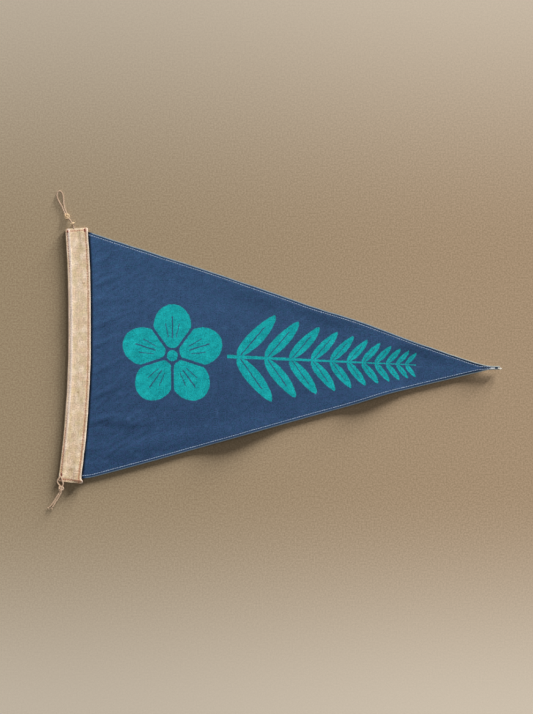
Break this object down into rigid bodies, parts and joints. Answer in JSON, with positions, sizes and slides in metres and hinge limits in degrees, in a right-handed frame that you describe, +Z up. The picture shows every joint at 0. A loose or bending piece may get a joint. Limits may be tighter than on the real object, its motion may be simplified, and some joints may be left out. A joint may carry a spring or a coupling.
{
  "type": "canvas pennant flag",
  "caption": "Triangular navy canvas pennant flag lying face up, with a hemmed edge, a pale canvas heading sewn along the hoist and short twine ties at both ends.",
  "frame": {"origin": "middle of the footprint of the cloth and heading, on the surface that the flag lies on", "axes": "+X along the flag to its tip, +Y along the hoist to its head, +Z up off the surface, out of the printed face"},
  "size_m": [0.7448, 0.5245, 0.0067],
  "materials": {
    "navy_canvas": "faded navy cotton canvas, matt, plain weave, with a teal print",
    "natural_canvas": "undyed cotton canvas, weathered, matt, with a coarse plain weave",
    "twine": "twisted natural jute twine, matt"
  },
  "bodies": {
    "root": {"field": "navy_canvas", "heading": "natural_canvas", "tie_top_stem": "twine", "tie_top_bead": "twine", "tie_top_knot": "twine", "tie_top_loop": "twine", "tie_low_outer": "twine", "tie_low_inner": "twine", "tie_low_knot": "twine", "tie_low_left": "twine", "tie_low_right": "twine"}
  },
  "joints": []
}
